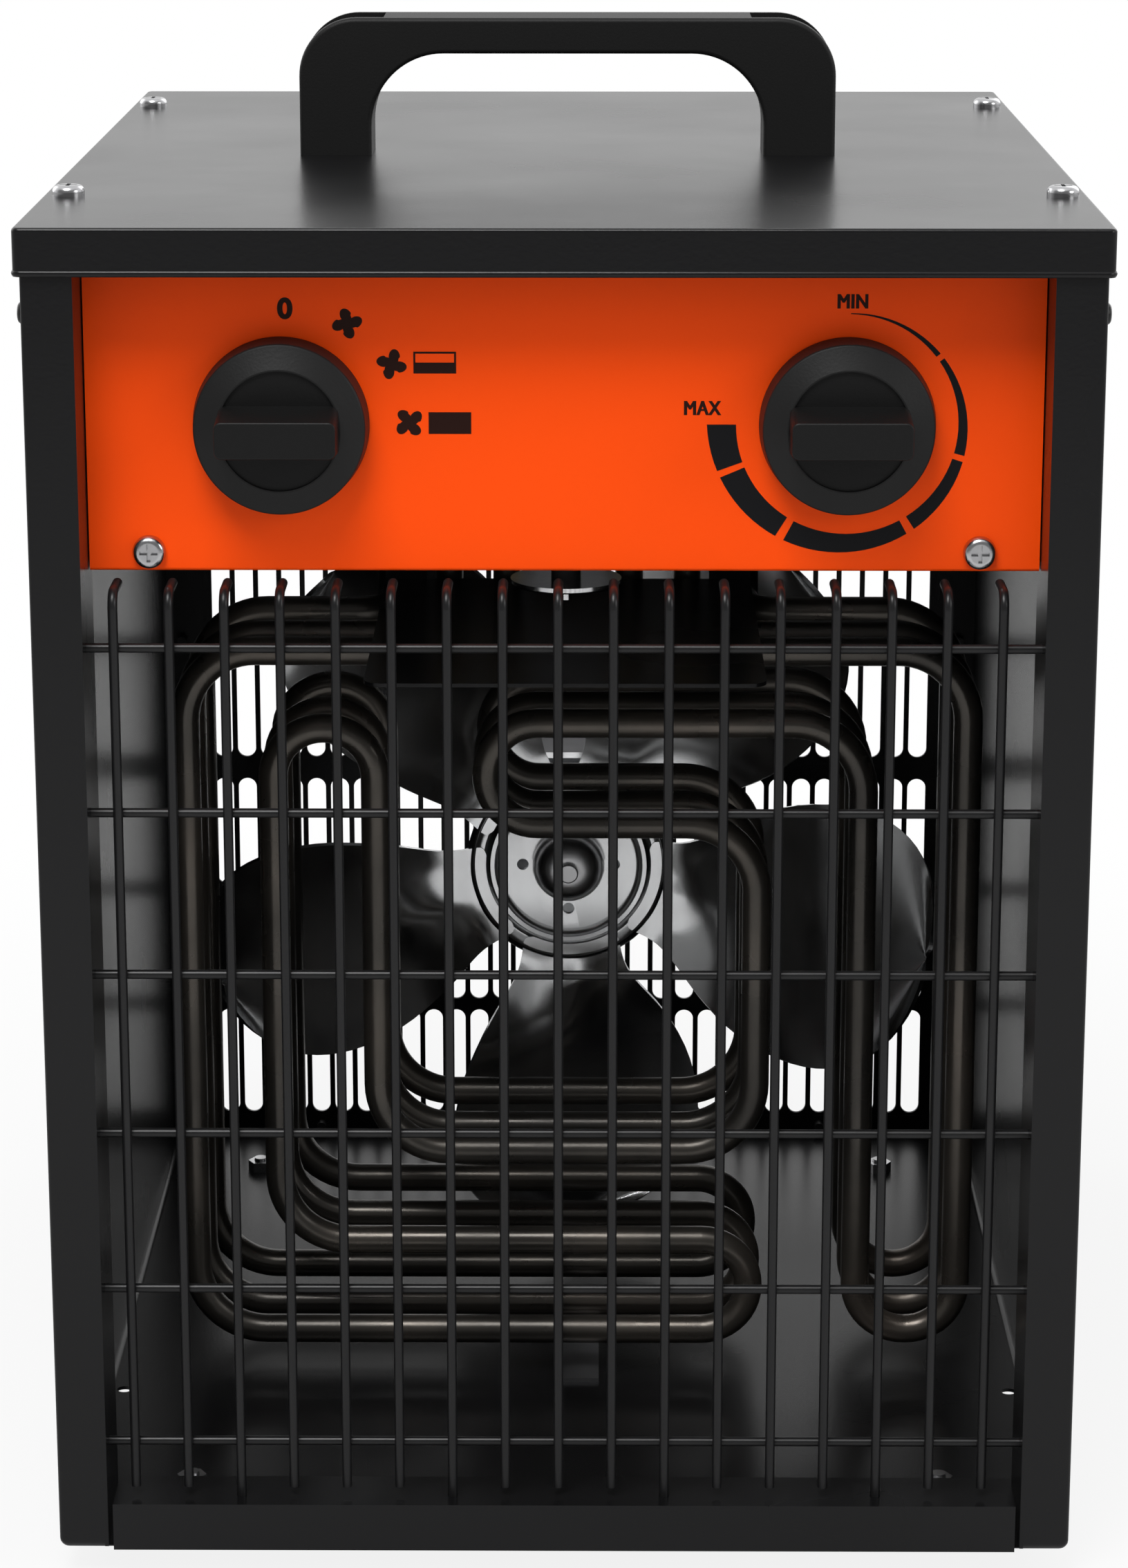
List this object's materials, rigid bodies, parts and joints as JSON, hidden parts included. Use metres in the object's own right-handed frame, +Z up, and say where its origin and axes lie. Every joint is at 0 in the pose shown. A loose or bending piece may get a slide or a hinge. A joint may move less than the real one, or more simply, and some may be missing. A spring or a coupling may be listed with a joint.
{
  "type": "industrial fan heater",
  "caption": "Portable electric fan heater: folded metal case, wire front guard, tubular elements, axial fan, control knobs and a carrying handle.",
  "frame": {"origin": "middle of the whole heater's outline at the level that the feet stand on", "axes": "+Z up, -Y out of the front guard, +X to the right seen from the front"},
  "size_m": [0.27, 0.3592, 0.396],
  "materials": {
    "casing_black": "semi-gloss powder coat with a fine grain",
    "guard_black": "satin coated wire",
    "panel_orange": "smooth semi-gloss paint",
    "zinc_sheet": "zinc coated sheet",
    "screw_chrome": "bright plated",
    "zinc_steel": "zinc plated",
    "screw_black": "black plated",
    "handle_plastic": "fine grained moulding",
    "knob_plastic": "fine grained moulding",
    "switch_plastic": "moulded",
    "capillary_copper": "drawn copper",
    "cutout_steel": "bright steel",
    "bushing_brass": "turned",
    "insulator_ceramic": "unglazed",
    "element_steel": "heat-tinted steel sheath",
    "fan_aluminium": "pressed and polished",
    "stator_steel": "varnished laminations",
    "winding_copper": "varnished winding",
    "lead_sleeve": "woven glass sleeve",
    "rubber_black": "moulded",
    "block_plastic": "moulded",
    "gland_plastic": "moulded"
  },
  "bodies": {
    "case": {"block_screws": "zinc_steel", "bulb_clips": "zinc_sheet", "cable_gland": "gland_plastic", "casing": "casing_black", "control_panel": "panel_orange", "cutout_disc": "cutout_steel", "element_bushings": "bushing_brass", "element_nuts": "bushing_brass", "element_support": "zinc_sheet", "foot_nuts": "zinc_steel", "foot_screws": "zinc_steel", "front_guard": "guard_black", "gland_nut": "gland_plastic", "handle": "handle_plastic", "handle_screws": "zinc_steel", "heat_shield": "casing_black", "heating_element_front": "element_steel", "heating_element_middle": "element_steel", "heating_element_rear": "element_steel", "lead_grommet": "rubber_black", "lid": "casing_black", "lid_screws": "screw_chrome", "motor_bearings": "bushing_brass", "motor_bolts": "zinc_steel", "motor_front_bracket": "fan_aluminium", "motor_lead": "lead_sleeve", "motor_mount": "zinc_sheet", "motor_nuts": "zinc_steel", "motor_rear_bracket": "fan_aluminium", "motor_stator": "stator_steel", "motor_windings": "winding_copper", "panel_screws": "screw_chrome", "partition_plate": "zinc_sheet", "rear_grille": "casing_black", "rear_screws": "screw_black", "rubber_feet": "rubber_black", "selector_switch": "switch_plastic", "shield_nuts": "zinc_steel", "shield_screws": "screw_chrome", "side_rivets": "screw_black", "terminal_block": "block_plastic", "terminal_insulators": "insulator_ceramic", "terminal_pins": "zinc_steel", "thermal_cutout": "switch_plastic", "thermostat_body": "switch_plastic", "thermostat_bulb": "capillary_copper", "thermostat_capillary": "capillary_copper"},
    "fan": {"fan_impeller": "fan_aluminium", "fan_nut": "zinc_steel", "motor_shaft": "zinc_steel", "motor_rotor": "zinc_steel"},
    "selector": {"selector_knob": "knob_plastic", "selector_shaft": "zinc_steel"},
    "thermostat_dial": {"thermostat_knob": "knob_plastic", "thermostat_shaft": "zinc_steel"}
  },
  "joints": [
    {"name": "fan_spin", "type": "hinge", "parent": "case", "child": "fan", "pos_m": [0, 0.0476, 0.1345], "axis": [0, 1, 0], "continuous": true},
    {"name": "selector_turn", "type": "hinge", "parent": "case", "child": "selector", "pos_m": [-0.071, -0.1544, 0.3067], "axis": [0, 1, 0], "range_deg": [0, 90]},
    {"name": "thermostat_turn", "type": "hinge", "parent": "case", "child": "thermostat_dial", "pos_m": [0.071, -0.1544, 0.3067], "axis": [0, 1, 0], "range_deg": [0, 270]}
  ]
}
